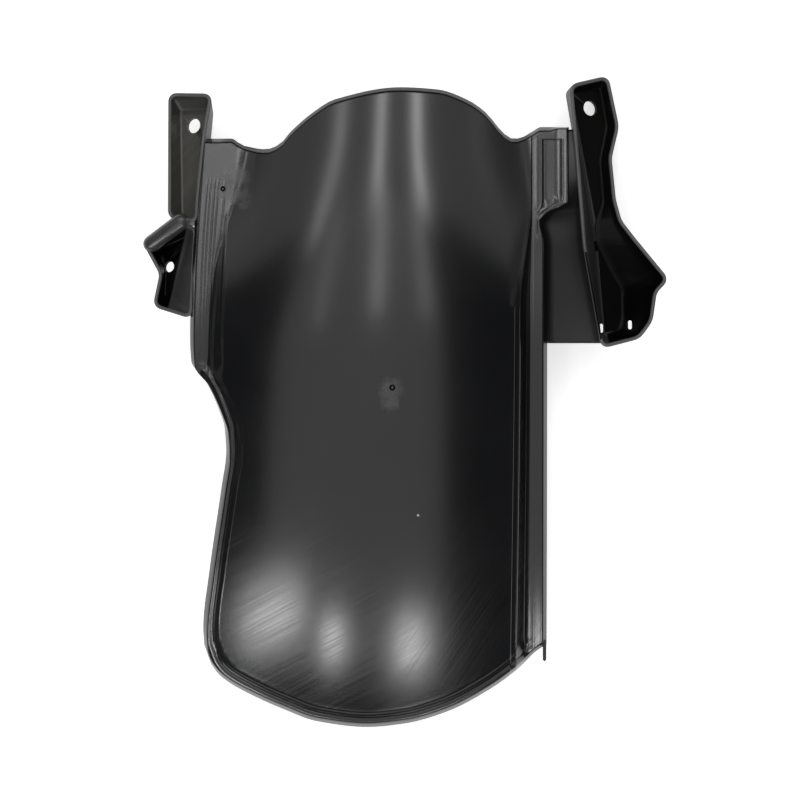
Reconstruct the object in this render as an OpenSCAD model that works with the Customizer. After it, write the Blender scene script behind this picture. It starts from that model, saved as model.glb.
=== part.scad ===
// Motorcycle rear fender: one moulded shell with a mounting wing on each side.
// Plan view in X and Y, with the crown of the shell towards +Z.

/* [Shell] */
// Wall thickness of the shell
wall = 2.5; // [2:0.1:3]
// Radius of the long arc that follows the wheel
arc_r = 420; // [380:5:600]
// Place along the length where the long arc is highest
crest_y = 38; // [25:1:50]
// Drop from the crown to the brims
brim_drop = 28; // [24:0.5:31]
// Radius of the crown across the shell at the arched end
crown_r_top = 120; // [112:1:140]
// Radius of the crown across the shell at the tail
crown_r_low = 215; // [190:5:260]
// Sideways place of the crown at the arched end
crown_x_top = -9; // [-14:0.5:-4]
// Sideways place of the crown at the tail
crown_x_low = -21; // [-26:0.5:-14]

/* [Outline] */
// Outer edge of the straight brim
brim_right = 85.5; // [83:0.5:90]
// Outer edge of the brim on the waist side
brim_left = 130; // [127:0.5:134]
// Edge at the narrow of the waist
waist_x = 106.8; // [100:0.1:110]
// Place of the waist along the length
waist_y = -24; // [-34:1:-18]
// Widest edge of the tail on the waist side
tail_x = 121; // [115:0.5:125]
// Where the two sides turn into the tail
corner_y = -146.5; // [-156:0.5:-140]
// Tip of the tail
tail_y = -196.2; // [-204:0.1:-186]
// End edge of the plain shoulder
shoulder_y = 157.5; // [154:0.5:161]
// Tip of the arched end
arch_y = 188; // [180:0.5:196]
// Bottom of the notches beside the arch
notch_y = 151; // [147:0.5:154]

/* [Edges] */
// Height of the turned-down lip round the sides and tail
lip_h = 7; // [5:0.5:10]
// Height of the plain edge along the arched end
end_h = 3.6; // [3.2:0.1:5]
// Rise of the rolled bead along the rim
bead_h = 1.4; // [0.5:0.1:2]
// Width of the rolled bead
bead_w = 5; // [4:0.1:6]
// Depth of the step inside the margin of the tail
margin_step = 1; // [0.4:0.1:1.6]
// Length of the tab at the end of the straight brim
tab_l = 10; // [6:0.5:14]

/* [Pad] */
// Outer edge of the widened pad on the straight brim
pad_x = 98.7; // [96:0.1:101]
// Where the pad narrows back to the brim
pad_y = 118; // [112:0.5:122]
// Pocket size across the pad
pocket_w = 10.8; // [8:0.1:12]
// Pocket size along the pad
pocket_l = 43.5; // [36:0.5:44]
// Pocket depth
pocket_d = 1.4; // [0.5:0.1:1.6]

/* [Wings] */
// Reach of the flared ear on the straight side
ear_x = 156; // [152:0.1:160]
// Reach of the wing on the waist side
cup_x = 154.5; // [152:0.1:159]
// Upper end of the longer wing
wing_y = 193.2; // [189:0.1:197]
// Sideways tilt of the wing floors
wing_tilt = 30; // [26:1:33]
// Thickness of the wing floors and walls
wing_wall = 2.2; // [1.8:0.1:2.8]
// Height of the inner wall over the floor
inner_rise = 11; // [9:0.5:13]
// Height of the outer wall over the floor
outer_rise = 9; // [7:0.5:12]
// Height of the flared ear over the floor plane
ear_rise = 34; // [28:0.5:38]
// Depth of the lower pocket under the upper floor on the waist side
cup_depth = 5; // [3:0.5:7]
// Diameter of the rounded ridge between the two pockets
ridge_d = 10; // [8:0.5:11]

/* [Holes] */
// Upper bolt hole in each wing
upper_hole_d = 9; // [6:0.1:9.5]
// Lower bolt hole on the waist side
lower_hole_d = 6.6; // [5:0.1:7.5]
// Width of the two tie slots at the end of the channel
tie_slot_w = 2.2; // [1.6:0.1:3]
// Length of the tie slots
tie_slot_l = 5.4; // [4:0.1:7]
// Raised gate mark left by moulding
gate_d = 5; // [3:0.5:7]

/* [Hidden] */

plastic = [0.07, 0.07, 0.075];

function ease(t) = let (c = min(max(t, 0), 1)) c * c * (3 - 2 * c);
function mix(a, b, t) = a + (b - a) * t;
function soft_max(a, b, k) = (a + b + sqrt((a - b) * (a - b) + k * k)) / 2;

// A smooth curve through points [position, value] that never overshoots them
function span(p, x, i = 0) = i >= len(p) - 2 || x < p[i + 1][0] ? i : span(p, x, i + 1);
function rate(p, i) = (p[i + 1][1] - p[i][1]) / (p[i + 1][0] - p[i][0]);
function tangent(p, i) =
    i == 0 ? rate(p, 0) :
    i == len(p) - 1 ? rate(p, i - 1) :
    rate(p, i - 1) * rate(p, i) <= 0 ? 0 :
    2 * rate(p, i - 1) * rate(p, i) / (rate(p, i - 1) + rate(p, i));
function curve(p, x) =
    let (i = span(p, x))
    let (w = p[i + 1][0] - p[i][0])
    let (t = min(max((x - p[i][0]) / w, 0), 1))
    let (s = ease(t))
    mix(p[i][1], p[i + 1][1], s)
        + w * t * (1 - t) * ((1 - t) * tangent(p, i) - t * tangent(p, i + 1));

// Plan outline, one curve for each side
left_edge = [
    [corner_y, -tail_x + 0.5],
    [corner_y + 10, -tail_x],
    [corner_y + 45, -tail_x + 3.9],
    [waist_y - 27, -waist_x - 2.8],
    [waist_y - 6, -waist_x],
    [waist_y + 8, -waist_x - 0.9],
    [waist_y + 17, -waist_x - 3.7],
    [waist_y + 38, -waist_x - 13.6],
    [waist_y + 47, -brim_left + 2.2],
    [waist_y + 62, -brim_left],
    [waist_y + 101, -brim_left + 2.5],
    [shoulder_y, -brim_left + 7.8]
];
right_edge = [
    [corner_y, brim_right],
    [pad_y - 24, brim_right],
    [pad_y - 11, brim_right - 2.4],
    [pad_y - 5, brim_right + 2],
    [pad_y, pad_x - 0.5],
    [pad_y + 2, pad_x],
    [shoulder_y + 7, pad_x]
];
tail_edge = [
    [-tail_x + 0.5, corner_y],
    [-tail_x + 5, corner_y - 12.3],
    [-tail_x + 12, corner_y - 20.4],
    [-tail_x + 30, corner_y - 30.8],
    [-tail_x + 48.5, tail_y + 10.7],
    [-tail_x + 68.3, tail_y + 3.5],
    [-tail_x + 98.5, tail_y],
    [brim_right - 85.5, tail_y + 2.1],
    [brim_right - 60.5, tail_y + 9.1],
    [brim_right - 35, tail_y + 22.3],
    [brim_right - 16, corner_y - 13.5],
    [brim_right - 6, corner_y - 3.8],
    [brim_right, corner_y]
];
arch_edge = [
    [-brim_left + 7.8, shoulder_y],
    [-104, shoulder_y],
    [-97, notch_y + 2.4],
    [-83, notch_y],
    [-75, notch_y + 2.8],
    [-68.7, notch_y + 10],
    [-54.3, arch_y - 14.6],
    [-41.7, arch_y - 7.2],
    [-2.7, arch_y],
    [20, arch_y - 1.3],
    [37.5, arch_y - 7.3],
    [48.3, arch_y - 14.6],
    [60.9, notch_y + 8.4],
    [65.6, notch_y + 6.2],
    [70, notch_y + 7],
    [76.5, notch_y + 10.6],
    [82, shoulder_y + 7],
    [pad_x, shoulder_y + 7]
];

// Steep side of the crown: its foot on the brim and its top edge
foot_x = brim_right - 8.8;
brow_edge = [
    [corner_y, foot_x - 9.8],
    [25, foot_x - 7.8],
    [60, foot_x - 7.6],
    [90, foot_x - 4],
    [112, foot_x - 0.8]
];
ledge_w = 3.6;
left_brim_w = 7.8;
left_foot_w = 20.5;

function arc_drop(y) = arc_r - sqrt(arc_r * arc_r - (y - crest_y) * (y - crest_y));
function crown_r(y) = mix(crown_r_low, crown_r_top, ease((y - 30) / 135));
function crown_x(y) = mix(crown_x_low, crown_x_top, (y - tail_y) / (arch_y - tail_y));
function crown(x, y) = -pow(x - crown_x(y), 2) / 2 / crown_r(y);
function bead(m) = m <= 0 || m >= bead_w ? 0 : bead_h * sin(180 * m / bead_w);

// Height of the outer skin. m is the distance to the rim of the tail,
// and detail switches the bead and the steps on.
function skin_z(x, y, xl, m, detail) =
    let (top = soft_max(crown(x, y), -brim_drop, 3))
    let (brow = curve(brow_edge, y))
    let (ledge = detail * margin_step * ease((x - brow + ledge_w) / 1.2) * ease((pad_y - 6 - y) / 30))
    let (right = mix(top - ledge, -brim_drop, ease((x - brow) / (foot_x - brow))))
    let (brim = ease((y - waist_y - 37) / 11))
    let (side = ease((xl + left_foot_w - x) / (left_foot_w - left_brim_w)) * brim)
    let (left = mix(right, -brim_drop, side))
    let (rolled = (1 - brim) * ease((foot_x - x) / 4))
    let (step = margin_step * ease((left_brim_w + 1.4 - m) / 1.4) * rolled)
    left - arc_drop(y) + detail * (bead(m) * rolled - step);

// Grid lines across the shell, counted from each side, and along it
left_lines = [0, 0.8, 2.2, 3.8, bead_w, left_brim_w, left_brim_w + 1.4, 13, 17, left_foot_w];
mid_lines = [for (i = [1:13]) i / 14];
wall_lines = [0, 0.25, 0.5, 0.75, 1];
brim_lines = [0.35, 0.72, 0.9, 1];
tail_lines = [0, 0.8, 2.2, 3.8, bead_w, left_brim_w, left_brim_w + 1.4];
side_len = shoulder_y - corner_y;
body_lines = [for (y = [18:11:150]) y];
step_lines = [159, 164, 169, 174, 182, 192, 204, 216, 228, 238, 246, 252, 256, 259, 261.5, 264, 266.5];
end_lines = [275, 285, 294, side_len - 4, side_len - 1.2, side_len];
along = [for (y = concat(tail_lines, body_lines, step_lines, end_lines)) y / side_len];
n_left = len(left_lines);
n_mid = len(mid_lines);
n_wall = len(wall_lines);
n_across = n_left + n_mid + 2 + n_wall + len(brim_lines);
n_along = len(along);

// Length positions of grid line v at the two sides of the shell
function left_y(v) = mix(corner_y, shoulder_y, v);
function right_y(v) = mix(corner_y, shoulder_y + 7, v);

// Sideways place of grid line i at step v, pulled in from the rim by d
function line_x(i, v, d) =
    let (xl = curve(left_edge, left_y(v)))
    let (xr = curve(right_edge, right_y(v)) - d)
    let (brow = curve(brow_edge, right_y(v)))
    let (a = xl + left_foot_w)
    let (b = brow - ledge_w)
    let (j = i - n_left)
    let (k = j - n_mid)
    i < n_left ? xl + d + left_lines[i] * (left_foot_w - d) / left_foot_w :
    j < n_mid ? mix(a, b, mid_lines[j]) :
    k == 0 ? b :
    k == 1 ? b + 1.2 :
    k < n_wall + 2 ? mix(brow, foot_x, wall_lines[k - 2]) :
    mix(foot_x, xr, brim_lines[k - n_wall - 2]);

function plan(i, j, d) =
    let (v = along[j])
    let (lo = curve(tail_edge, line_x(i, 0, 0)) + d)
    let (hi = curve(arch_edge, line_x(i, 1, 0)) - d)
    [line_x(i, v, d), mix(lo, hi, v)];

function rim_gap(i, j) =
    min(i < n_left ? left_lines[i] : 99, j < len(tail_lines) ? tail_lines[j] : 99);

function edge_x(j) = curve(left_edge, left_y(along[j]));

function outer_point(i, j) =
    let (p = plan(i, j, 0))
    [p[0], p[1], skin_z(p[0], p[1], edge_x(j), rim_gap(i, j), 1)];

// The inner skin lies one wall thickness below, measured square to the slope
function inner_point(i, j) =
    let (p = plan(i, j, wall))
    let (x = p[0])
    let (y = p[1])
    let (xl = edge_x(j))
    let (sx = skin_z(x + 0.5, y, xl, 99, 0) - skin_z(x - 0.5, y, xl, 99, 0))
    let (sy = skin_z(x, y + 0.5, xl, 99, 0) - skin_z(x, y - 0.5, xl, 99, 0))
    [x, y, skin_z(x, y, xl, 99, 0) - wall * sqrt(1 + sx * sx + sy * sy)];

// The lip fades to a plain edge along the arched end
function lip_at(p) =
    let (plain = ease((foot_x - p[0]) / 4) * ease((p[0] + 112) / 6))
    mix(lip_h, end_h, ease((p[1] - shoulder_y + 16) / 12) * plain);

// Border of a grid of nj rows and ni columns, as [row, column] pairs
function border(nj, ni) = concat(
    [for (i = [0:ni - 2]) [0, i]],
    [for (j = [0:nj - 2]) [j, ni - 1]],
    [for (i = [ni - 1:-1:1]) [nj - 1, i]],
    [for (j = [nj - 1:-1:1]) [j, 0]]
);

// An outer and an inner grid of points, joined round the border through loops
module shell(outer, inner, loops = []) {
    nj = len(outer);
    ni = len(outer[0]);
    rim = border(nj, ni);
    nb = len(rim);
    grid = ni * nj;
    points = concat([for (r = outer) each r], [for (r = inner) each r], [for (r = loops) each r]);
    tops = [for (j = [0:nj - 2]) for (i = [0:ni - 2]) let (a = j * ni + i)
        each [[a, a + ni, a + 1], [a + 1, a + ni, a + ni + 1]]];
    unders = [for (f = tops) [f[0] + grid, f[2] + grid, f[1] + grid]];
    bands = concat(
        [[for (b = rim) b[0] * ni + b[1]]],
        [for (r = [0:1:len(loops) - 1]) [for (k = [0:nb - 1]) 2 * grid + r * nb + k]],
        [[for (b = rim) grid + b[0] * ni + b[1]]]
    );
    sides = [for (r = [0:len(bands) - 2]) for (k = [0:nb - 1])
        let (n = (k + 1) % nb)
        each [
            [bands[r][k], bands[r][n], bands[r + 1][n]],
            [bands[r][k], bands[r + 1][n], bands[r + 1][k]]
        ]];
    polyhedron(points, concat(tops, unders, sides));
}

module panel() {
    outer = [for (j = [0:n_along - 1]) [for (i = [0:n_across - 1]) outer_point(i, j)]];
    inner = [for (j = [0:n_along - 1]) [for (i = [0:n_across - 1]) inner_point(i, j)]];
    rim = border(n_along, n_across);
    outer_lip = [for (b = rim)
        let (p = outer[b[0]][b[1]])
        [p[0], p[1], p[2] - lip_at(p)]];
    inner_lip = [for (b = rim)
        let (p = outer[b[0]][b[1]])
        let (q = inner[b[0]][b[1]])
        [q[0], q[1], p[2] - lip_at(p)]];
    shell(outer, inner, [outer_lip, inner_lip]);
}

// Plan outlines of the wing pockets, clockwise from the upper corner on the left.
// The rim follows the floor corner for corner and stands the third value over it.
channel_floor = [
    [pad_x, wing_y - 7.4], [pad_x + 19.4, wing_y - 5], [pad_x + 23.2, wing_y - 28.2],
    [pad_x + 19, wing_y - 49.2], [ear_x - 36.2, wing_y - 74.2], [ear_x - 40.5, wing_y - 86.2],
    [ear_x - 40.5, wing_y - 97.7], [ear_x - 30.5, wing_y - 117.7], [ear_x - 25, wing_y - 126.7],
    [ear_x - 25, wing_y - 132.2], [ear_x - 25, wing_y - 143.2], [ear_x - 27, wing_y - 151.2],
    [ear_x - 37, wing_y - 155.2], [pad_x + 10.8, wing_y - 100.2]
];
channel_rim = [
    [pad_x + 2.5, wing_y - 4.8, inner_rise], [pad_x + 22.2, wing_y, outer_rise],
    [pad_x + 28.1, wing_y - 28.2, outer_rise], [pad_x + 23.6, wing_y - 47.2, outer_rise],
    [ear_x - 31.2, wing_y - 72.6, outer_rise], [ear_x - 27.6, wing_y - 85.8, outer_rise + 3],
    [ear_x - 18.9, wing_y - 97.1, ear_rise * 0.56], [ear_x - 5.6, wing_y - 113.4, ear_rise * 0.88],
    [ear_x, wing_y - 120.2, ear_rise], [ear_x - 6.8, wing_y - 127.4, ear_rise * 0.86],
    [ear_x - 9.2, wing_y - 144.6, ear_rise * 0.62], [ear_x - 16, wing_y - 154, outer_rise + 4],
    [ear_x - 36.5, wing_y - 159.3, inner_rise], [pad_x + 17.3, wing_y - 100.2, inner_rise]
];
tray_floor = [
    [19.8 - cup_x, wing_y - 18.6], [37.3 - cup_x, wing_y - 18], [34.8 - cup_x, wing_y - 36.2],
    [32 - cup_x, wing_y - 73.2], [27.5 - cup_x, wing_y - 85.7], [21 - cup_x, wing_y - 87.7]
];
tray_rim = [
    [14.7 - cup_x, wing_y - 10.2, inner_rise], [36.9 - cup_x, wing_y - 10.8, outer_rise],
    [31.2 - cup_x, wing_y - 36.6, inner_rise + 1.8], [27.7 - cup_x, wing_y - 72.6, inner_rise + 3],
    [27.2 - cup_x, wing_y - 84.2, inner_rise + 3], [14.7 - cup_x, wing_y - 82.8, inner_rise]
];
cup_floor = [
    [5.4 - cup_x, wing_y - 102.6], [21.6 - cup_x, wing_y - 94.2], [24 - cup_x, wing_y - 96.6],
    [14.4 - cup_x, wing_y - 129.6], [10.8 - cup_x, wing_y - 130.2], [11.4 - cup_x, wing_y - 115.2]
];
cup_rim = [
    [-cup_x, wing_y - 97.8, outer_rise + 5], [22.2 - cup_x, wing_y - 88.8, outer_rise],
    [26.4 - cup_x, wing_y - 91.2, outer_rise + 3], [24 - cup_x, wing_y - 139.2, outer_rise],
    [6.6 - cup_x, wing_y - 135, outer_rise - 2], [10.5 - cup_x, wing_y - 116.7, outer_rise - 3]
];

upper_hole_right = [pad_x + 12.9, wing_y - 17.2];
upper_hole_left = [28.5 - cup_x, wing_y - 27.8];
lower_hole_left = [13.9 - cup_x, wing_y - 112.5];
tie_slots = [[ear_x - 38, wing_y - 149.6], [ear_x - 20.7, wing_y - 147.5]];
gate_marks = [[-7.5, crest_y - 30.2], [21 - brim_left, pad_y + 9.3]];

// Wing floors are planes that fall outwards and towards the arched end
side_fall = tan(wing_tilt);
end_fall = 0.195;
right_level = function (x, y) -66.9 - side_fall * (x - upper_hole_right[0])
    - end_fall * (y - upper_hole_right[1]);
left_level = function (x, y) -61.2 + side_fall * (x - upper_hole_left[0])
    - end_fall * (y - upper_hole_left[1]);
cup_level = function (x, y) left_level(x, y) - cup_depth;

function unit(v) = v / norm(v);
function left_of(v) = [-v[1], v[0]];
function plan_of(p) = [p[0], p[1]];

// Move every side of a clockwise outline outwards by d
function grow(p, d) =
    let (n = len(p))
    [for (i = [0:n - 1])
        let (before = left_of(unit(plan_of(p[i] - p[(i + n - 1) % n]))))
        let (after = left_of(unit(plan_of(p[(i + 1) % n] - p[i]))))
        plan_of(p[i]) + d * (before + after) / (1 + before * after)];

// Replace every corner by a short curve of four points that starts r before it
function soften(p, r) =
    let (n = len(p))
    [for (i = [0:n - 1])
        let (back = p[(i + n - 1) % n] - p[i])
        let (ahead = p[(i + 1) % n] - p[i])
        let (a = p[i] + back * min(r / norm(plan_of(back)), 0.4))
        let (b = p[i] + ahead * min(r / norm(plan_of(ahead)), 0.4))
        each [for (t = [0:3]) let (u = t / 3)
            (1 - u) * (1 - u) * a + 2 * u * (1 - u) * p[i] + u * u * b]];

// Closed rings of points joined in order, capped at both ends
module skin(rings) {
    n = len(rings[0]);
    last = (len(rings) - 1) * n;
    sides = [for (k = [0:len(rings) - 2]) for (i = [0:n - 1])
        let (a = k * n + i)
        let (b = k * n + (i + 1) % n)
        each [[a, b, b + n], [a, b + n, a + n]]];
    polyhedron(
        [for (r = rings) each r],
        concat([[for (i = [n - 1:-1:0]) i]], sides, [[for (i = [0:n - 1]) last + i]])
    );
}

function foot_ring(floor_plan, level) =
    [for (p = grow(soften(floor_plan, 3), wing_wall)) [p[0], p[1], level(p[0], p[1]) - 1.2 * wing_wall]];

// Open pocket: sloping floor, leaning walls and a rounded rim
module pocket(floor_plan, rim_plan, level, base) {
    bottom = soften(floor_plan, 3);
    top = soften(rim_plan, 3);
    heights = [for (p = top) base(p[0], p[1]) + p[2]];
    ring = function (d, dz) let (g = grow(top, d))
        [for (i = [0:len(g) - 1]) [g[i][0], g[i][1], heights[i] + dz]];
    skin([
        foot_ring(floor_plan, level),
        ring(wing_wall, -0.8),
        ring(0.7 * wing_wall, 0),
        ring(0.3 * wing_wall, 0),
        ring(0, -0.6),
        [for (p = bottom) [p[0], p[1], level(p[0], p[1])]]
    ]);
}

module channel() {
    pocket(channel_floor, channel_rim, right_level, right_level);
}

module tray() {
    pocket(tray_floor, tray_rim, left_level, left_level);
}

module cup() {
    pocket(cup_floor, cup_rim, cup_level, left_level);
}

// Rounded ridge between the tray and the cup
module ridge() {
    low = [3.9 - cup_x, wing_y - 97.5];
    high = [21.1 - cup_x, wing_y - 85.8];
    a = [low[0], low[1], left_level(low[0], low[1]) + 8.4];
    b = [high[0], high[1], left_level(high[0], high[1]) + 7.2];
    run = b - a;
    translate(a) sphere(d = ridge_d, $fn = 32);
    translate(a)
    rotate([0, acos(run[2] / norm(run)), atan2(run[1], run[0])])
    cylinder(d = ridge_d, h = norm(run), $fn = 32);
}

// Bent sheet that hangs from the lip of the straight brim and reaches the channel
web_y = 36;
web_end = pad_y + 5.2;
web_fall = 5;
web_drop = 17;
web_profile = [
    [brim_right - 0.5, -4],
    [brim_right - 0.5, -lip_h - 2.2],
    [brim_right + 5.5, -lip_h - 6],
    [brim_right + 21.5, -web_drop],
    [brim_right + 36.5, -web_drop],
    [brim_right + 36.5, -web_drop - wall],
    [brim_right + 21.1, -web_drop - wall],
    [brim_right + 4.6, -lip_h - 8],
    [brim_right - 1.9, -lip_h - 4.4],
    [brim_right - 1.9, -4]
];

module web() {
    intersection() {
        translate([0, web_y, -brim_drop - arc_drop(web_y)])
        rotate([90 - web_fall, 0, 0])
        translate([0, 0, -92])
        linear_extrude(96)
        polygon(web_profile);
        translate([0, 0, -80])
        linear_extrude(80)
        polygon([
            [80, web_y - 1.6], [brim_right + 4.5, web_y - 1.6], [brim_right + 7.5, web_y + 0.2],
            [channel_floor[12][0] - 0.4, web_y + 0.7], channel_floor[13] + [0.4, 0],
            [pad_x + 7.9, pad_y - 5], [pad_x + 6.7, web_end],
            [brim_right + 3.5, web_end], [brim_right + 1, 91], [80, 91]
        ]);
    }
}

// Wall that closes the end of the sheet under the pad
module end_wall() {
    top = -brim_drop - arc_drop(web_end) - 0.5 * wall;
    translate([brim_right + 2.4, web_end - 1.9, top - 14.6])
    cube([pad_x - brim_right - 3.4, 1.4, 14.6]);
}

// Shelf under the edge of the pad that carries the channel
module shelf() {
    intersection() {
        on_slope(pad_mid)
        translate([0, 24, 0])
        rotate([90, 0, 0])
        linear_extrude(48)
        polygon([
            [pad_x - 1.9, -4], [pad_x - 0.6, -4], [pad_x - 0.6, -lip_h - 1.6],
            [pad_x + 14, -lip_h - 1.6], [pad_x + 14, -lip_h - 4.2], [pad_x - 1.9, -lip_h - 4.2]
        ]);
        translate([0, 0, -80])
        linear_extrude(80)
        polygon([
            [pad_x - 4, pad_y + 4], [pad_x + 11.9, pad_y + 4],
            [pad_x + 3.3, shoulder_y + 4.6], [pad_x - 4, shoulder_y + 4.6]
        ]);
    }
}

// Tab that carries the side lip past the tail
module tab() {
    z = -brim_drop - arc_drop(corner_y);
    translate([brim_right - wall + 0.3, corner_y - tab_l, z - lip_h + 0.4])
    cube([wall - 0.6, tab_l + 4.3, lip_h - 1.6]);
}

module on_slope(y) {
    translate([0, y, -brim_drop - arc_drop(y)])
    rotate([-asin((y - crest_y) / arc_r), 0, 0])
    children();
}

pad_mid = (pad_y + 4.5 + shoulder_y + 7) / 2;
pocket_x = (foot_x + 4 + pad_x - 2.6) / 2;
pocket_top = shoulder_y - 0.3;
pocket_mid = pocket_top - pocket_l / 2;

// Shallow pocket in the pad, with its lower end set along the curved lip
module pad_pocket() {
    half = pocket_w / 2;
    low = pocket_top - pocket_l - pocket_mid;
    on_slope(pocket_mid)
    translate([pocket_x, 0, -pocket_d])
    linear_extrude(pocket_d + 4)
    polygon([
        [-half, pocket_top - pocket_mid], [half, pocket_top - pocket_mid],
        [half, low + 7], [0.1 * half, low + 4.2], [-half, low - 1]
    ]);
}

module gate(p) {
    translate([p[0], p[1], skin_z(p[0], p[1], -brim_left, 99, 0) - 1])
    cylinder(d = gate_d, h = 1.5, $fn = 24);
}

// Bore square to a wing floor
module bore(p, level, side, d) {
    lean = [side * side_fall, end_fall, 1];
    translate([p[0], p[1], level(p[0], p[1])])
    rotate([0, acos(1 / norm(lean)), atan2(lean[1], lean[0])])
    translate([0, 0, -8])
    cylinder(d = d, h = 14, $fn = 48);
}

module tie_slot(p) {
    translate([p[0], p[1], -90])
    linear_extrude(90)
    union() {
        square([tie_slot_w, tie_slot_l - tie_slot_w], center = true);
        translate([0, (tie_slot_l - tie_slot_w) / 2]) circle(d = tie_slot_w, $fn = 24);
        translate([0, (tie_slot_w - tie_slot_l) / 2]) circle(d = tie_slot_w, $fn = 24);
    }
}

// Points that bound the part: the lip all round, and the feet and rims of the wings
lip_points = [for (b = border(n_along, n_across))
    let (p = outer_point(b[1], b[0]))
    [p[0], p[1], p[2] - lip_at(p)]];
wing_feet = concat(
    foot_ring(channel_floor, right_level),
    foot_ring(tray_floor, left_level),
    foot_ring(cup_floor, cup_level)
);
wing_rims = concat(
    grow(soften(channel_rim, 3), wing_wall),
    grow(soften(tray_rim, 3), wing_wall),
    grow(soften(cup_rim, 3), wing_wall)
);
bounds = concat(lip_points, wing_feet, wing_rims);

// The part stands on its lowest point, centred in its own outline
centre = [for (k = [0, 1]) (min([for (p = bounds) p[k]]) + max([for (p = bounds) p[k]])) / 2];
lift = -min([for (p = concat(lip_points, wing_feet)) p[2]]);

module fender() {
    color(plastic)
    translate([-centre[0], -centre[1], lift])
    difference() {
        union() {
            panel();
            web();
            end_wall();
            shelf();
            channel();
            tray();
            cup();
            ridge();
            tab();
            for (p = gate_marks) gate(p);
        }
        pad_pocket();
        bore(upper_hole_right, right_level, 1, upper_hole_d);
        bore(upper_hole_left, left_level, -1, upper_hole_d);
        bore(lower_hole_left, cup_level, -1, lower_hole_d);
        for (p = tie_slots) tie_slot(p);
    }
}

fender();
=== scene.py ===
import bpy
import bmesh
import numpy as np
from math import cos, hypot, pi, radians, sin, sqrt, tan
from mathutils import Matrix, Vector
from mathutils.kdtree import KDTree


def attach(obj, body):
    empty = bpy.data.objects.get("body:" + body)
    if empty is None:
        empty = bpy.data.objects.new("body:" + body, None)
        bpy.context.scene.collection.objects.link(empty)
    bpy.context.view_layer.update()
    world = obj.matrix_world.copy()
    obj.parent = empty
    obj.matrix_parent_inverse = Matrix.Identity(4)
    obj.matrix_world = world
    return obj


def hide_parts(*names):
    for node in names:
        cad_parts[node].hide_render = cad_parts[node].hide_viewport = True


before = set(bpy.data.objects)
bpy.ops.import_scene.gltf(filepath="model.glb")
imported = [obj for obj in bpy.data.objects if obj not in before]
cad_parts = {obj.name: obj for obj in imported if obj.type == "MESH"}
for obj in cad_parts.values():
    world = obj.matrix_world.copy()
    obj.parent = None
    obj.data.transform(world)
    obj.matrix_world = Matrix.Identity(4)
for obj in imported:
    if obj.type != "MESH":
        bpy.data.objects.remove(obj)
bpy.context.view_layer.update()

# Place of the part in the frame, in mm: the sizes below are in the part's own plan
SHIFT_X, SHIFT_Y, LIFT = -0.640, 0.658, 81.752


def metres(p):
    return ((p[0] + SHIFT_X) / 1000, (p[1] + SHIFT_Y) / 1000, (p[2] + LIFT) / 1000)


# Camera, in metres: it looks straight down from CAM_H and sees VIEW_W across at the height VIEW_AT
CAM_H, VIEW_W, VIEW_AT, SENSOR = 10.0, 0.48, 0.035, 36.0
AIM_X, AIM_Y = -0.0027, 0.0006
cam_data = bpy.data.cameras.new("camera")
cam = bpy.data.objects.new("camera", cam_data)
bpy.context.collection.objects.link(cam)
cam.location = (AIM_X + SHIFT_X / 1000, AIM_Y + SHIFT_Y / 1000, CAM_H)
cam_data.sensor_width = SENSOR
cam_data.lens = SENSOR * (CAM_H - VIEW_AT) / VIEW_W
cam_data.clip_end = 6 * CAM_H
bpy.context.scene.camera = cam

# Sizes in mm, after the CAD model; the left brim stands 1.5 further in, as the photo shows
WALL = 2.5
ARC_R, CREST_Y, BRIM_DROP = 420.0, 38.0, 28.0
CROWN_R_TOP, CROWN_R_LOW, CROWN_X_TOP, CROWN_X_LOW = 120.0, 215.0, -9.0, -21.0
BRIM_RIGHT, BRIM_LEFT = 85.5, 128.5
WAIST_X, WAIST_Y, TAIL_X = 106.8, -24.0, 121.0
CORNER_Y, TAIL_Y, SHOULDER_Y, ARCH_Y, NOTCH_Y = -146.5, -196.2, 157.5, 188.0, 151.0
LIP_H, END_H, BEAD_H, BEAD_W, STEP, TAB_L = 7.0, 3.6, 1.4, 5.0, 1.0, 10.0
PAD_X, PAD_Y, POCKET_D = 98.7, 118.0, 1.3
WING_TILT, WING_WALL, INNER, OUTER, EAR, CUP = 30.0, 2.2, 11.0, 9.0, 34.0, 5.0
FOOT_X = BRIM_RIGHT - 8.8
LEDGE_W, LEFT_BRIM_W, LEFT_FOOT_W = 3.6, 7.8, 20.5
PAD_FOOT = PAD_Y - 6

# Fine relief in mm, which only this scene draws
CROWN_BLEND, WAIST_BLEND, WAIST_BLEND_X = 3, 0.8, -50
BEAD_RISE, BEAD_STEP, LEDGE_DROP = 0.6 * BEAD_H, 0.55 * STEP, 0.45 * STEP
JOINT_LOW, JOINT_TOP, JOINT_SINK = -32.4, -15.0, 0.22
LINES_TOP, LINES_END, LINE_HALF = 131.8, 22, 0.42
BRIM_LINES = ((5.8, 0.06), (8.0, 0.09), (10.2, 0.09), (12.4, 0.07), (16.4, 0.05))
SHOULDER_TOP = 121
FLANGE_LEAN, FLANGE_LINES = 0.075, ((1.4, 0.09), (4.6, 0.06))
PAD_LEAN, PAD_LEAN_X = 0.15, 91.2
PAD_LINES = ((79.3, 0.7, 0.22), (81.6, 0.5, 0.14), (98.0, 0.5, 0.12))


def ease(t):
    c = min(max(t, 0.0), 1.0)
    return c * c * (3 - 2 * c)


def mix(a, b, t):
    return a + (b - a) * t


def soft_max(a, b, k):
    return (a + b + sqrt((a - b) ** 2 + k * k)) / 2


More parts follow.
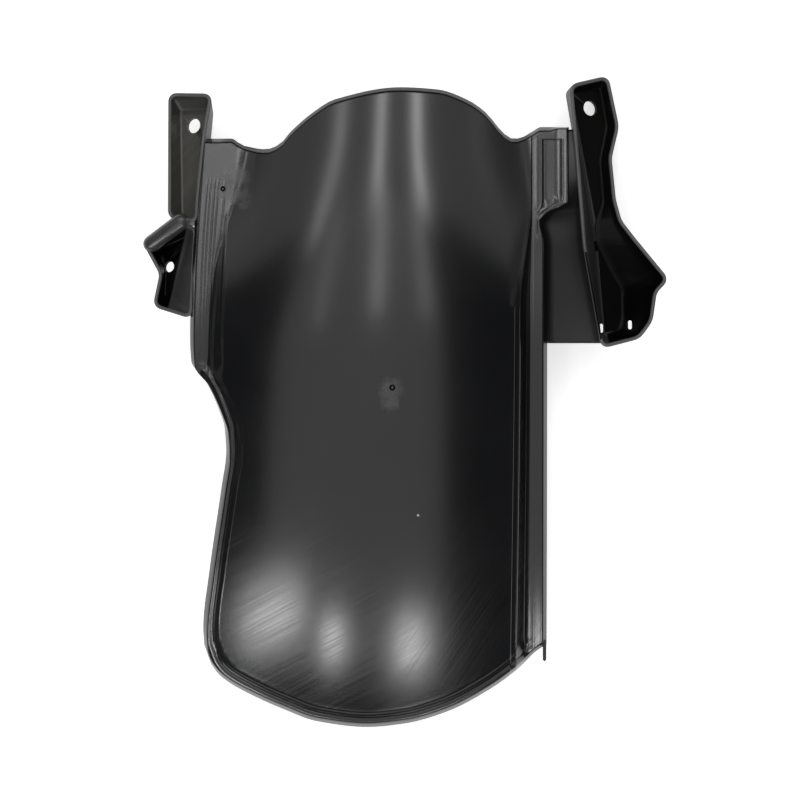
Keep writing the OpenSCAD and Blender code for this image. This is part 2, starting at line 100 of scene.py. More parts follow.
def curve(p, x):
    """Smooth curve through the points p, without overshoot, read at x."""
    i = 0
    while i < len(p) - 2 and x >= p[i + 1][0]:
        i += 1

    def rate(j):
        return (p[j + 1][1] - p[j][1]) / (p[j + 1][0] - p[j][0])

    def tangent(j):
        if j == 0:
            return rate(0)
        if j == len(p) - 1:
            return rate(j - 1)
        a, b = rate(j - 1), rate(j)
        return 0 if a * b <= 0 else 2 * a * b / (a + b)

    w = p[i + 1][0] - p[i][0]
    t = min(max((x - p[i][0]) / w, 0), 1)
    return mix(p[i][1], p[i + 1][1], ease(t)) + w * t * (1 - t) * ((1 - t) * tangent(i) - t * tangent(i + 1))


left_edge = [
    [CORNER_Y, -TAIL_X + 0.5], [CORNER_Y + 10, -TAIL_X], [CORNER_Y + 45, -TAIL_X + 3.9],
    [WAIST_Y - 27, -WAIST_X - 2.8], [WAIST_Y - 6, -WAIST_X], [WAIST_Y + 8, -WAIST_X - 0.9],
    [WAIST_Y + 17, -WAIST_X - 3.7], [WAIST_Y + 38, -WAIST_X - 13.6], [WAIST_Y + 47, -BRIM_LEFT + 0.8],
    [WAIST_Y + 62, -BRIM_LEFT], [WAIST_Y + 101, -BRIM_LEFT + 1], [SHOULDER_Y, -BRIM_LEFT + 6.3],
]
right_edge = [
    [CORNER_Y, BRIM_RIGHT], [PAD_Y - 24, BRIM_RIGHT], [PAD_Y - 11, BRIM_RIGHT - 2.4],
    [PAD_Y - 5, BRIM_RIGHT + 2], [PAD_Y, PAD_X - 0.5], [PAD_Y + 2, PAD_X], [SHOULDER_Y + 7, PAD_X],
]
tail_edge = [
    [-TAIL_X + 0.5, CORNER_Y], [-TAIL_X + 5, CORNER_Y - 12.3], [-TAIL_X + 12, CORNER_Y - 20.4],
    [-TAIL_X + 30, CORNER_Y - 30.8], [-TAIL_X + 48.5, TAIL_Y + 10.7], [-TAIL_X + 68.3, TAIL_Y + 3.5],
    [-TAIL_X + 98.5, TAIL_Y], [BRIM_RIGHT - 85.5, TAIL_Y + 2.1], [BRIM_RIGHT - 60.5, TAIL_Y + 9.1],
    [BRIM_RIGHT - 35, TAIL_Y + 22.3], [BRIM_RIGHT - 16, CORNER_Y - 13.5], [BRIM_RIGHT - 6, CORNER_Y - 3.8],
    [BRIM_RIGHT, CORNER_Y],
]
arch_edge = [
    [-BRIM_LEFT + 6.3, SHOULDER_Y], [-104, SHOULDER_Y], [-97, NOTCH_Y + 2.4], [-83, NOTCH_Y],
    [-75, NOTCH_Y + 2.8], [-68.7, NOTCH_Y + 10], [-54.3, ARCH_Y - 14.6], [-41.7, ARCH_Y - 7.2],
    [-2.7, ARCH_Y], [20, ARCH_Y - 1.3], [37.5, ARCH_Y - 7.3], [48.3, ARCH_Y - 14.6], [60.9, NOTCH_Y + 8.4],
    [65.6, NOTCH_Y + 6.2], [70, NOTCH_Y + 7], [76.5, NOTCH_Y + 10.6], [82, SHOULDER_Y + 7],
    [PAD_X, SHOULDER_Y + 7],
]
brow_edge = [
    [CORNER_Y, FOOT_X - 9.8], [25, FOOT_X - 7.8], [60, FOOT_X - 7.6], [90, FOOT_X - 4], [112, FOOT_X - 0.8],
]


def arc_drop(y):
    return ARC_R - sqrt(ARC_R ** 2 - (y - CREST_Y) ** 2)


def crown_r(y):
    return mix(CROWN_R_LOW, CROWN_R_TOP, ease((y - 30) / 135))


def crown_x(y):
    return mix(CROWN_X_LOW, CROWN_X_TOP, (y - TAIL_Y) / (ARCH_Y - TAIL_Y))


def crown(x, y):
    return -((x - crown_x(y)) ** 2) / 2 / crown_r(y)


def groove(d, half, depth):
    """A soft groove (or, with a negative depth, a soft line) of the given half width."""
    return 0.0 if abs(d) >= half else -depth * (1 + cos(pi * d / half)) / 2


def near_path(x, y, path):
    best = 1e9
    for a, b in zip(path, path[1:]):
        dx, dy = b[0] - a[0], b[1] - a[1]
        t = min(max(((x - a[0]) * dx + (y - a[1]) * dy) / (dx * dx + dy * dy), 0), 1)
        best = min(best, hypot(x - a[0] - t * dx, y - a[1] - t * dy))
    return best


# Raised line along the top of the steep side by the waist
SHOULDER_LINE = [
    (-106.0, 112), (-107.2, 96), (-108.6, 70), (-109.0, 42), (-110.6, 32), (-113.0, 25), (-117.5, 19),
]
POCKET = (83.0, 93.8, 157.0)


def pocket_depth(x, y):
    """Depth of the shallow pocket in the pad, with steep sides and a lower end along the lip."""
    low = mix(111.5, 120.5, ease((x - 82.4) / 11.4))
    side = min(x - POCKET[0], POCKET[1] - x, POCKET[2] - y, y - low)
    return POCKET_D * ease((side + 0.35) / 0.7)


def fall(t):
    """Drop down the steep side: a tight brow, a straight wall and a hollow foot."""
    c = min(max(t, 0.0), 1.0)
    if c < 0.08:
        return 1.85 * c * c / 0.16
    if c < 0.5:
        return 1.85 * (c - 0.04)
    u = (c - 0.5) / 0.5
    return 0.851 + 0.149 * (1 - (1 - u) ** 3)


def left_brim(y):
    """1 where the shell has its left brim, 0 below it."""
    return ease((y - WAIST_Y - 37) / 11)


def below_pad(y):
    """1 along the straight right brim, 0 beside the pad."""
    return ease((PAD_FOOT - y) / 30)


def plain_z(x, y, left_x, detail):
    """Crown, steep right side and both brims, bent along the arc; left_x is the left edge on this row."""
    blend = mix(CROWN_BLEND, WAIST_BLEND, ease((WAIST_BLEND_X - x) / 20)) if detail else CROWN_BLEND
    top = soft_max(crown(x, y), -BRIM_DROP, blend)
    brow = curve(brow_edge, y)
    ledge = detail * LEDGE_DROP * ease((x - brow + LEDGE_W) / 0.8) * below_pad(y)
    right = mix(top - ledge, -BRIM_DROP, fall((x - brow) / (FOOT_X - brow)))
    side = ease((left_x + LEFT_FOOT_W - x) / (LEFT_FOOT_W - LEFT_BRIM_W)) * left_brim(y)
    return mix(right, -BRIM_DROP, side) - arc_drop(y)


def rim_relief(x, y, gap):
    """Bead, step and fine lines along the rolled rim, at the distance gap from it."""
    roll = BEAD_RISE * sin(pi * min(gap / BEAD_W, 1)) if 0 < gap < BEAD_W else 0
    joint = ease((y - JOINT_LOW) / 0.5) * ease((JOINT_TOP - y) / 0.5) * (x < -90)
    roll *= 1 - JOINT_SINK * joint
    lines = groove(gap - BEAD_W - 0.2, 0.9, 0.16) + groove(gap - 6.8, 0.7, 0.05)
    lines += groove(gap - LEFT_BRIM_W - 1.5, 0.7, -0.07)
    return roll + lines - BEAD_STEP * ease((LEFT_BRIM_W + 1.2 - gap) / 1.8)


def joint_relief(y):
    """Two grooves across the bead, where its sunk stretch ends."""
    return groove(y - JOINT_TOP + 0.3, 0.5, 0.3) + groove(y - JOINT_LOW - 0.3, 0.5, 0.22)


def brim_relief(x, y, left_x):
    """Parallel lines on the left brim, the groove across their top and the line along the steep side."""
    d = x - left_x
    fade = ease((LINES_TOP - y) / 0.8) * ease((y - LINES_END) / 12)
    z = sum(fade * groove(d - at, LINE_HALF, -height) for at, height in BRIM_LINES)
    if y < SHOULDER_TOP:
        z += groove(near_path(x, y, SHOULDER_LINE), 0.5, -0.3) * ease((SHOULDER_TOP - y) / 10)
    return z + groove(y - LINES_TOP + 0.2, 0.5, 0.15) * ease(d - 5) * ease(23 - d)


def right_relief(x, y):
    """Ledge lines on the brow, the leaning flange and the pad with its pocket."""
    z, brow = 0.0, curve(brow_edge, y)
    if x > brow - 8 and y < PAD_FOOT:
        z += below_pad(y) * (groove(x - brow + LEDGE_W - 0.3, 0.5, -0.12) + groove(x - brow, 0.45, -0.12))
    if x <= FOOT_X - 1:
        return z
    z -= FLANGE_LEAN * max(x - FOOT_X - 1, 0) * below_pad(y)
    if y < 100:
        z += sum(groove(x - FOOT_X - at, 0.4, depth) for at, depth in FLANGE_LINES) * ease((-20 - y) / 60)
    elif y < SHOULDER_Y + 0.5:
        z += sum(groove(x - at, half, -height) for at, half, height in PAD_LINES)
    if y > 104:
        z -= pocket_depth(x, y) + PAD_LEAN * max(x - PAD_LEAN_X, 0) * ease((y - PAD_FOOT) / 6)
    return z


def skin_z(x, y, left_x, gap, detail=1):
    """Height of the skin; gap is the distance from the rolled rim, and detail adds the fine relief."""
    z = plain_z(x, y, left_x, detail)
    if not detail:
        return z
    brim = left_brim(y)
    rolled = (1 - brim) * ease((FOOT_X - x) / 4)
    if rolled > 0 and gap < 12:
        z += rolled * rim_relief(x, y, gap)
        if x < -90 and gap < 6:
            z += joint_relief(y)
    if x < -95 and brim > 0:
        z += brim * brim_relief(x, y, left_x)
    return z + right_relief(x, y)


# Shell. Its grid lines lie at chosen distances from the edges, closer where a line or a step runs
DRAFT_W, DRAFT_SOFT, DRAFT_RATE = 2.7, 0.7, 2.1
LEFT_BAND, END_BAND, EDGE_BAND = 22, 12, 2.7
rim_d = [
    0, 0.1, 0.3, 0.6, 0.95, 1.35, 1.8, 2.3, 2.8, 3.3, 3.8, 4.2, 4.6, 4.9, 5.15, 5.4, 5.7, 6.0, 6.3, 6.6,
    6.9, 7.3, 7.6, 7.85, 8.1, 8.35, 8.6, 8.85, 9.1, 9.4, 9.8,
]
left_d = rim_d + [
    10.2, 10.6, 11.2, 11.8, 12.1, 12.4, 12.7, 13.3, 14.2, 15.2, 16.1, 16.4, 16.7, 17.5, 18.4, 19.2, 19.6,
    19.9, 20.2, 20.5, 20.8, 21.1, 21.4, 22,
]
N_MID = 44  # lines across the plain crown
ledge_d = [-0.5, 0, 0.2, 0.4, 0.6, 0.9, 1.4]
brow_d = [-1.6, -1.0, -0.6, -0.35, -0.15, 0, 0.15, 0.35, 0.6]
wall_f = [0.03, 0.08, 0.2, 0.34, 0.44, 0.5, 0.56, 0.64, 0.74, 0.86, 1]
flange_f = [
    0.06, 0.1, 0.14, 0.19, 0.24, 0.27, 0.286, 0.302, 0.33, 0.42, 0.5, 0.56, 0.6, 0.66, 0.72, 0.76, 0.777,
    0.794, 0.82,
]
edge_d = [2.7, 2.4, 2.1, 1.7, 1.2, 0.6, 0.2, 0]
tail_d = rim_d + [10.6, 12]
N_BODY = 112  # rows between the two end bands
end_d = [12, 11, 10, 9, 8.3, 7.8, 7.5, 7.2, 6.9, 6.4, 5.6, 4.8, 4, 3.2, 2.4, 1.8, 1.3, 0.9, 0.6, 0.3, 0.1, 0]
SIDE = SHOULDER_Y - CORNER_Y

rows = [("tail", d) for d in tail_d]
rows += [("body", k / N_BODY) for k in range(1, N_BODY)]
rows += [("end", d) for d in end_d]


def row_v(kind, d):
    """Share of the shell's length at which a row of the grid lies."""
    if kind == "tail":
        return d / SIDE
    if kind == "end":
        return 1 - d / SIDE
    return mix(END_BAND / SIDE, 1 - END_BAND / SIDE, d)


def across(v, pull):
    """Sideways places of all grid lines on one row, pulled in from both edges."""
    yl, yr = mix(CORNER_Y, SHOULDER_Y, v), mix(CORNER_Y, SHOULDER_Y + 7, v)
    left_x, xr = curve(left_edge, yl), curve(right_edge, yr)
    brow = curve(brow_edge, yr)
    b = brow - LEDGE_W
    a = left_x + LEFT_BAND
    out = [left_x + pull + d * (LEFT_BAND - pull) / LEFT_BAND for d in left_d]
    out += [mix(a, b - 0.5, k / N_MID) for k in range(1, N_MID)]
    out += [b + d for d in ledge_d]
    out += [brow + d for d in brow_d]
    out += [mix(brow + 0.6, FOOT_X, f) for f in wall_f]
    in_edge = xr - EDGE_BAND - 0.2
    out += [mix(FOOT_X, in_edge - pull, 0.93 * f / flange_f[-1]) for f in flange_f]
    out += [xr - pull - d * (EDGE_BAND - 0.4 * min(pull, 1)) / EDGE_BAND for d in edge_d]
    return out, left_x


def plan_grid(pull):
    """Plan of all grid points, pulled in from the outline, and the left edge of each row."""
    xs0, _ = across(0, 0)
    xs1, _ = across(1, 0)
    lo = [curve(tail_edge, x) + pull for x in xs0]
    hi = [curve(arch_edge, x) - pull for x in xs1]
    grid, lefts = [], []
    for kind, d in rows:
        v = row_v(kind, d)
        xs, left_x = across(v, pull)
        if kind == "tail":
            ys = [a + d * (END_BAND - pull) / END_BAND for a in lo]
        elif kind == "end":
            ys = [b - d * (END_BAND - pull) / END_BAND for b in hi]
        else:
            ys = [mix(a - pull + END_BAND, b + pull - END_BAND, d) for a, b in zip(lo, hi)]
        grid.append(list(zip(xs, ys)))
        lefts.append(left_x)
    return grid, lefts


def outline_points():
    """Close points along the rolled rim, from the waist round the tail."""
    pts = []
    for k in range(401):
        y = mix(CORNER_Y, WAIST_Y + 60, k / 400)
        pts.append((curve(left_edge, y), y))
    for k in range(601):
        x = mix(-TAIL_X + 0.5, BRIM_RIGHT, k / 600)
        pts.append((x, curve(tail_edge, x)))
    return np.array(pts)


RIM = outline_points()


def rim_distance(grid):
    """Distance of each grid point from the rolled rim."""
    p = np.array(grid).reshape(-1, 2)
    out = np.empty(len(p))
    for k in range(0, len(p), 2000):
        q = p[k:k + 2000]
        out[k:k + 2000] = np.sqrt(((q[:, None, :] - RIM[None, :, :]) ** 2).sum(2)).min(1)
    return out.reshape(len(grid), len(grid[0]))


def lip_at(x, y):
    """Depth of the turned-down lip, which is lower along the arched end."""
    plain = ease((FOOT_X - x) / 4) * ease((x + 112) / 6)
    return mix(LIP_H, END_H, ease((y - SHOULDER_Y + 16) / 12) * plain)


def border(n_rows, n_cols):
    """Grid places round the border, in order."""
    return (
        [(0, i) for i in range(n_cols - 1)] + [(j, n_cols - 1) for j in range(n_rows - 1)]
        + [(n_rows - 1, i) for i in range(n_cols - 1, 0, -1)] + [(j, 0) for j in range(n_rows - 1, 0, -1)]
    )


def make_object(name, verts, faces):
    me = bpy.data.meshes.new(name)
    me.from_pydata([metres(v) for v in verts], [], faces)
    me.validate()
    me.update()
    for p in me.polygons:
        p.use_smooth = True
    ob = bpy.data.objects.new(name, me)
    bpy.context.collection.objects.link(ob)
    return ob


def draft(gap, share):
    """How far the turned-down lip has fallen at a distance from the rim."""
    a = max(DRAFT_W - gap, 0.0)
    down = a * a / 2 / DRAFT_SOFT if a < DRAFT_SOFT else a - DRAFT_SOFT / 2
    return DRAFT_RATE * down * share


# Share of the wall and height above the lip's bottom, round the lower edge of the lip
LIP_ROUND = ((0, 0.6), (0.03, 0.35), (0.12, 0.1), (0.3, 0), (0.7, 0), (0.88, 0.12), (0.97, 0.45), (1, 0.9))


def underside_z(x, y, left_x):
    """Height of the inner face, one wall below the plain skin, measured square to it."""
    def skin(a, b):
        return skin_z(a, b, left_x, 99, 0)

    sx, sy = skin(x + 0.5, y) - skin(x - 0.5, y), skin(x, y + 0.5) - skin(x, y - 0.5)
    return skin(x, y) - WALL * sqrt(1 + sx * sx + sy * sy)


def build_shell():
    """Shell with an outer and an inner face, joined round the border by the lip."""
    outer, lefts = plan_grid(0)
    inner, _ = plan_grid(WALL)
    rim_gaps = rim_distance(outer)
    n_rows, n_cols = len(outer), len(outer[0])
    ring = border(n_rows, n_cols)

    def edge_gap(j, i):
        kind, d = rows[j]
        near = [left_d[i] if i < len(left_d) else 99]
        if i >= n_cols - len(edge_d):
            near.append(edge_d[i - n_cols + len(edge_d)])
        if kind != "body":
            near.append(d)
        return min(near)

    verts = []
    for j in range(n_rows):
        for i in range(n_cols):
            x, y = outer[j][i]
            z = skin_z(x, y, lefts[j], rim_gaps[j][i])
            on_pad = 1 + 1.6 * ease((x - 88) / 4) * ease((y - PAD_FOOT) / 5)
            z -= draft(edge_gap(j, i) * on_pad, lip_at(x, y) / LIP_H)
            verts.append((x, y, z))
    grid_n = n_rows * n_cols
    for j in range(n_rows):
        for i in range(n_cols):
            x, y = inner[j][i]
            verts.append((x, y, underside_z(x, y, lefts[j])))
    loops = []
    bottoms = []
    for j, i in ring:
        x, y = outer[j][i]
        bottoms.append(skin_z(x, y, lefts[j], 99, 0) - lip_at(x, y))
    for t, dz in LIP_ROUND:
        loop = []
        for k, (j, i) in enumerate(ring):
            a, b = outer[j][i], inner[j][i]
            loop.append(len(verts))
            verts.append((mix(a[0], b[0], t), mix(a[1], b[1], t), bottoms[k] + dz))
        loops.append(loop)
    faces = []
    for j in range(n_rows - 1):
        for i in range(n_cols - 1):
            a = j * n_cols + i
            b = a + grid_n
            faces.append((a, a + 1, a + n_cols + 1, a + n_cols))
            faces.append((b, b + n_cols, b + n_cols + 1, b + 1))
    bands = [[j * n_cols + i for j, i in ring]] + loops + [[grid_n + j * n_cols + i for j, i in ring]]
    n = len(ring)
    for a, b in zip(bands, bands[1:]):
        for k in range(n):
            q = (k + 1) % n
            faces.append((a[k], b[k], b[q], a[q]))
    return make_object("shell", verts, faces)


# Wings: plans of floors and rims in mm, the rims with their height over the wing's own slope
channel_floor = [
    (98.7, 185.8), (118.1, 188.2), (121.9, 165), (117.7, 144), (119.8, 119), (115.5, 107), (115.5, 95.5),
    (125.5, 75.5), (131, 66.5), (131, 61), (131, 50), (129, 42), (119, 38), (114.6, 93),
]
channel_rim = [
    (101.2, 188.4, INNER), (120.9, 193.2, OUTER), (126.8, 165, OUTER), (122.3, 146, OUTER),
    (124.8, 120.6, OUTER), (128.4, 107.4, OUTER + 3), (137.1, 96.1, EAR * 0.56),
    (150.4, 79.8, EAR * 0.88), (156, 73, EAR), (149.2, 65.8, EAR * 0.86), (146.8, 48.6, EAR * 0.62),
    (140, 39.2, OUTER + 4), (119.5, 33.9, INNER), (109.0, 93, INNER),
]
tray_floor = [
    (-134.7, 174.6), (-116.8, 175.2), (-118.4, 157), (-121.2, 120), (-125.7, 107.5), (-133.5, 105.5),
]
tray_rim = [
    (-139.8, 183, INNER), (-117.6, 182.4, OUTER), (-121.8, 156.6, INNER + 1.8),
    (-125.3, 120.6, INNER + 3), (-125.8, 109, INNER + 3), (-139.8, 111.4, INNER),
]
cup_floor = [
    (-149.1, 90.6), (-131.4, 99), (-129, 96.6), (-140.1, 63.6), (-144.2, 62.6), (-143.6, 78),
]
cup_rim = [
    (-155.2, 95.6, OUTER + 5), (-130.8, 104.4, OUTER), (-126.6, 102, OUTER + 3), (-129, 51.8, OUTER),
    (-148.7, 58, OUTER - 2), (-144.8, 76.5, OUTER - 3),
]
HOLE_R, HOLE_L, HOLE_LOW = (111.6, 176.0), (-126.7, 165.4), (-141.3, 80.7)
BORE_D, LOW_BORE_D, BORE_DEPTH = 9, 6.6, 14
TIE_SLOTS = [(118, 43.6), (135.3, 45.7)]
SLOT_R, SLOT_HALF = 1.1, 1.6
FLOOR_ROUND, RIM_ROUND = 3, 3.4
SIDE_FALL, END_FALL = tan(radians(WING_TILT)), 0.195


def right_level(x, y):
    """Slope of the right wing's floor."""
    return -66.9 - SIDE_FALL * (x - HOLE_R[0]) - END_FALL * (y - HOLE_R[1])


def left_level(x, y):
    """Slope of the left wing's floor."""
    return -61.2 + SIDE_FALL * (x - HOLE_L[0]) - END_FALL * (y - HOLE_L[1])


def cup_level(x, y):
    return left_level(x, y) - CUP


def grow(p, d):
    """Outline p, moved outward by d, its corners mitred."""
    out, n = [], len(p)
    for i in range(n):
        ax, ay = p[i][0] - p[i - 1][0], p[i][1] - p[i - 1][1]
        bx, by = p[(i + 1) % n][0] - p[i][0], p[(i + 1) % n][1] - p[i][1]
        la, lb = hypot(ax, ay), hypot(bx, by)
        a, b = (-ay / la, ax / la), (-by / lb, bx / lb)
        s = d / (1 + a[0] * b[0] + a[1] * b[1])
        out.append((p[i][0] + s * (a[0] + b[0]), p[i][1] + s * (a[1] + b[1])))
    return out


# Points on each rounded corner
SOFT = 8


def soften(p, r):
    """Outline p with its corners rounded by curves that start r before each corner."""
    out, n = [], len(p)
    for i in range(n):
        here, back, ahead = p[i], p[i - 1], p[(i + 1) % n]
        ends = []
        for q in (back, ahead):
            f = min(r / hypot(q[0] - here[0], q[1] - here[1]), 0.42)
            ends.append([mix(h, c, f) for h, c in zip(here, q)])
        a, b = ends
        for k in range(SOFT):
            u = k / (SOFT - 1)
            v = 1 - u
            out.append(tuple(v * v * s + 2 * u * v * h + u * u * e for s, h, e in zip(a, here, b)))
    return out


# Points of each pocket's rounded rim, in metres, and the rings of the pocket that hold them
RIM_POINTS = {}
RIM_RINGS = range(3, 10)


def build_pocket(name, floor_plan, rim_plan, level, base):
    """Open pocket with a sloping floor, leaning walls, a rounded rim and a fillet round the floor."""
    bottom, top = soften(floor_plan, FLOOR_ROUND), soften(rim_plan, RIM_ROUND)
    heights = [base(p[0], p[1]) + p[2] for p in top]
    rings = []

    def at_rim(d, dz):
        rings.append([(x, y, h + dz) for (x, y), h in zip(grow(top, d), heights)])

    def at_floor(d, dz):
        rings.append([(x, y, level(x, y) + dz) for x, y in grow(bottom, d)])

    thick = 1.2 * WING_WALL
    at_floor(WING_WALL - 0.8, -thick)
    at_floor(WING_WALL - 0.2, -thick + 0.2)
    at_floor(WING_WALL, -thick + 0.8)
    for k in range(len(RIM_RINGS)):
        a = pi * k / (len(RIM_RINGS) - 1)
        at_rim(WING_WALL / 2 * (1 + cos(a)), WING_WALL / 2 * (sin(a) - 1))
    wall = list(zip(rings[-1], [(p[0], p[1], level(p[0], p[1])) for p in bottom]))
    for f in (0.3, 0.6, 0.82, 0.92):
        rings.append([tuple(mix(a[k], b[k], f) for k in range(3)) for a, b in wall])
    at_floor(-0.25, 0.28)
    at_floor(-0.8, 0.05)
    at_floor(-1.3, 0)
    n = len(rings[0])
    verts = [v for r in rings for v in r]
    faces = [tuple(range(n - 1, -1, -1))]
    RIM_POINTS[name] = [metres(v) for k in RIM_RINGS for v in rings[k]]
    for k in range(len(rings) - 1):
        for i in range(n):
            a, b = k * n + i, k * n + (i + 1) % n
            faces.append((a, b, b + n, a + n))
    faces.append(tuple((len(rings) - 1) * n + i for i in range(n)))
    ob = make_object(name, verts, faces)
    bm = bmesh.new()
    bm.from_mesh(ob.data)
    bmesh.ops.recalc_face_normals(bm, faces=bm.faces)
    bmesh.ops.triangulate(bm, faces=[f for f in bm.faces if len(f.verts) > 4])
    bm.to_mesh(ob.data)
    bm.free()
    return ob


def cutter(name, bm):
    """Object made from a finished bmesh."""
    me = bpy.data.meshes.new(name)
    bm.to_mesh(me)
    bm.free()
    ob = bpy.data.objects.new(name, me)
    bpy.context.collection.objects.link(ob)
    return ob


def cut(ob, tool):
    """Cuts the tool out of the object and removes the tool."""
    mod = ob.modifiers.new("cut", "BOOLEAN")
    mod.operation = "DIFFERENCE"
    mod.solver = "EXACT"
    mod.object = tool
    deps = bpy.context.evaluated_depsgraph_get()
    deps.update()
    me = bpy.data.meshes.new_from_object(ob.evaluated_get(deps))
    ob.modifiers.clear()
    old = ob.data
    ob.data = me
    bpy.data.meshes.remove(old)
    tool_me = tool.data
    bpy.data.objects.remove(tool)
    bpy.data.meshes.remove(tool_me)


def bore_tool(p, level, side, d):
    """Round pin square to a wing's floor; side is the way in which the wing falls."""
    bm = bmesh.new()
    r = d / 2000
    bmesh.ops.create_cone(bm, cap_ends=True, segments=64, radius1=r, radius2=r, depth=BORE_DEPTH / 1000)
    normal = Vector((side * SIDE_FALL, END_FALL, 1)).normalized()
    turn = Vector((0, 0, 1)).rotation_difference(normal).to_matrix().to_4x4()
    place = Matrix.Translation(Vector(metres((p[0], p[1], level(p[0], p[1])))) - normal * 0.001)
    bmesh.ops.transform(bm, matrix=place @ turn, verts=bm.verts)
    return cutter("bore", bm)


def slot_tool(p):
    """Upright bar with round ends for a tie slot."""
    bm = bmesh.new()
    ring = []
    for k in range(32):
        a = 2 * pi * k / 32
        end = SLOT_HALF if sin(a) > 0 else -SLOT_HALF
        ring.append((p[0] + SLOT_R * cos(a), p[1] + SLOT_R * sin(a) + end))
    low = [bm.verts.new(metres((x, y, -90))) for x, y in ring]
    high = [bm.verts.new(metres((x, y, 0))) for x, y in ring]
    bm.faces.new(low[::-1])
    bm.faces.new(high)
    for k in range(32):
        q = (k + 1) % 32
        bm.faces.new((low[k], low[q], high[q], high[k]))
    return cutter("slot", bm)


def tube(name, path, radius, sides):
    """Round bar along a path of points, with rounded ends."""
    pts = [Vector(p) for p in path]
    stations = []
    first, last = (pts[1] - pts[0]).normalized(), (pts[-1] - pts[-2]).normalized()
    for k in range(5):
        a = pi / 2 * k / 5
        stations.append((pts[0] - first * radius * cos(a), first, radius * max(sin(a), 0.02)))
    for k in range(len(pts)):
        d = (pts[min(k + 1, len(pts) - 1)] - pts[max(k - 1, 0)]).normalized()
        stations.append((pts[k], d, radius))
    for k in range(4, -1, -1):
        a = pi / 2 * k / 5
        stations.append((pts[-1] + last * radius * cos(a), last, radius * max(sin(a), 0.02)))
    verts, faces = [], []
    for c, d, r in stations:
        u = d.cross(Vector((0, 0, 1))).normalized()
        w = u.cross(d).normalized()
        for k in range(sides):
            a = 2 * pi * k / sides
            verts.append(tuple(c + u * r * cos(a) + w * r * sin(a)))
    for s in range(len(stations) - 1):
        for k in range(sides):
            a, b = s * sides + k, s * sides + (k + 1) % sides
            faces.append((a, b, b + sides, a + sides))
    faces.append(tuple(range(sides - 1, -1, -1)))
    faces.append(tuple((len(stations) - 1) * sides + k for k in range(sides)))
    ob = make_object(name, verts, faces)
    bm = bmesh.new()
    bm.from_mesh(ob.data)
    bmesh.ops.recalc_face_normals(bm, faces=bm.faces)
    bm.to_mesh(ob.data)
    bm.free()
    return ob


WEB_LOW, WEB_TOP, WEB_WALL = 34.6, 163, 2.4
web_edge = [[34, 118.6], [93, 111.8], [125, 107.6], [150, 104.4], [WEB_TOP, 103.0]]


def build_web():
    """Sheet between the straight brim and the channel, with a valley beside the brim."""
    ny, nx = 76, 44
    top, low = [], []
    for j in range(ny):
        y = mix(WEB_LOW, WEB_TOP, j / (ny - 1))
        xa = min(curve(right_edge, y), PAD_X) - 1.5
        xb = curve(web_edge, y)
        za = -BRIM_DROP - arc_drop(y) - LIP_H + 1.2
        zb = right_level(xb, y) + mix(-0.4, INNER - WEB_WALL, ease((y - PAD_FOOT) / 22))
        zb = min(zb, za - 0.5)
        valley = 1 - ease((y - PAD_FOOT) / 16)
        for i in range(nx):
            s = i / (nx - 1)
            w = xb - xa
            near = 1 - (1 - min(s * w / 5.5, 1)) ** 2.2
            f = mix(s, mix(0.3 * near, 1, s), valley)
            x = mix(xa, xb, s)
            z = mix(za, zb, min(f, 1.0))
            top.append((x, y, z))
            low.append((x, y, z - WEB_WALL))
    faces = []
    n = nx * ny
    for j in range(ny - 1):
        for i in range(nx - 1):
            a = j * nx + i
            faces.append((a, a + 1, a + nx + 1, a + nx))
            faces.append((a + n, a + nx + n, a + nx + 1 + n, a + 1 + n))
    ring = [j * nx + i for j, i in border(ny, nx)]
    for k in range(len(ring)):
        a, b = ring[k], ring[(k + 1) % len(ring)]
        faces.append((a, a + n, b + n, b))
    return make_object("web", top + low, faces)


def build_ridge():
    """Smooth roll along the upper end of the cup."""
    a = (-151.8, 94.4, left_level(-151.8, 94.4) + 10.6)
    b = (-134.0, 107.6, left_level(-134.0, 107.6) + 10.2)
    return tube("ridge", [a, tuple(mix(p, q, 0.5) for p, q in zip(a, b)), b], 5.1, sides=48)


def build_tab():
    """Small upright tab at the tail end of the straight brim."""
    foot = -BRIM_DROP - arc_drop(CORNER_Y)
    lo = metres((BRIM_RIGHT - WALL + 0.2, CORNER_Y - TAB_L, foot - LIP_H + 0.4))
    hi = metres((BRIM_RIGHT - 0.2, CORNER_Y + 3, foot - 1.2))
    bm = bmesh.new()
    bmesh.ops.create_cube(bm, size=1)
    for v in bm.verts:
        v.co = [hi[k] if v.co[k] > 0 else lo[k] for k in range(3)]
    bmesh.ops.bevel(bm, geom=bm.edges[:], offset=0.0006, segments=3, affect="EDGES")
    return cutter("tab", bm)


def gate_mark(name, x, y, radius, sweep):
    """Ring left by a pin on the skin; the sweep in radians says how far it goes round."""
    path = []
    for k in range(25):
        a = 0.6 + sweep * (k / 24 - 0.5)
        px, py = x + radius * cos(a), y + radius * sin(a)
        path.append((px, py, skin_z(px, py, -BRIM_LEFT, 99, 0) + 0.1))
    return tube(name, path, 0.55, sides=12)


shell = build_shell()
channel = build_pocket("channel", channel_floor, channel_rim, right_level, right_level)
cut(channel, bore_tool(HOLE_R, right_level, 1, BORE_D))
for p in TIE_SLOTS:
    cut(channel, slot_tool(p))
tray = build_pocket("tray", tray_floor, tray_rim, left_level, left_level)
cut(tray, bore_tool(HOLE_L, left_level, -1, BORE_D))
cup = build_pocket("cup", cup_floor, cup_rim, cup_level, left_level)
cut(cup, bore_tool(HOLE_LOW, cup_level, -1, LOW_BORE_D))
ridge = build_ridge()
web = build_web()
tab = build_tab()
pin_low = gate_mark("pin_low", -7.3, 8.0, 1.3, 6.2)
pin_high = gate_mark("pin_high", -108.8, 127.3, 1.0, 5.6)


